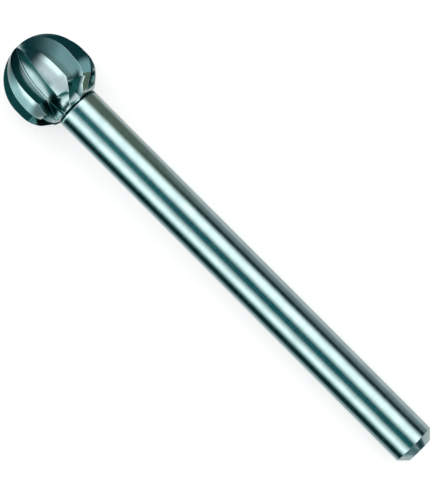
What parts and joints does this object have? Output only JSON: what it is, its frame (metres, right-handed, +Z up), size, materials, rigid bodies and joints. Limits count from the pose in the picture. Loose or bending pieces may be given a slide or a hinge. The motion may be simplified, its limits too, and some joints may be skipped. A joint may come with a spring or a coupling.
{
  "type": "rotary cutter bit",
  "caption": "High-speed steel cutter bit with a fluted ball head on a plain round shank, for shaping and hollowing in a rotary tool.",
  "frame": {"origin": "middle of the bit's footprint on the table it lies on", "axes": "+X along the bit from the ball head's nose to the shank's free end, +Z up"},
  "size_m": [0.0392, 0.0064, 0.0062],
  "materials": {
    "steel": "ground high-speed steel"
  },
  "bodies": {
    "root": {"cutter_bit": "steel"}
  },
  "joints": []
}
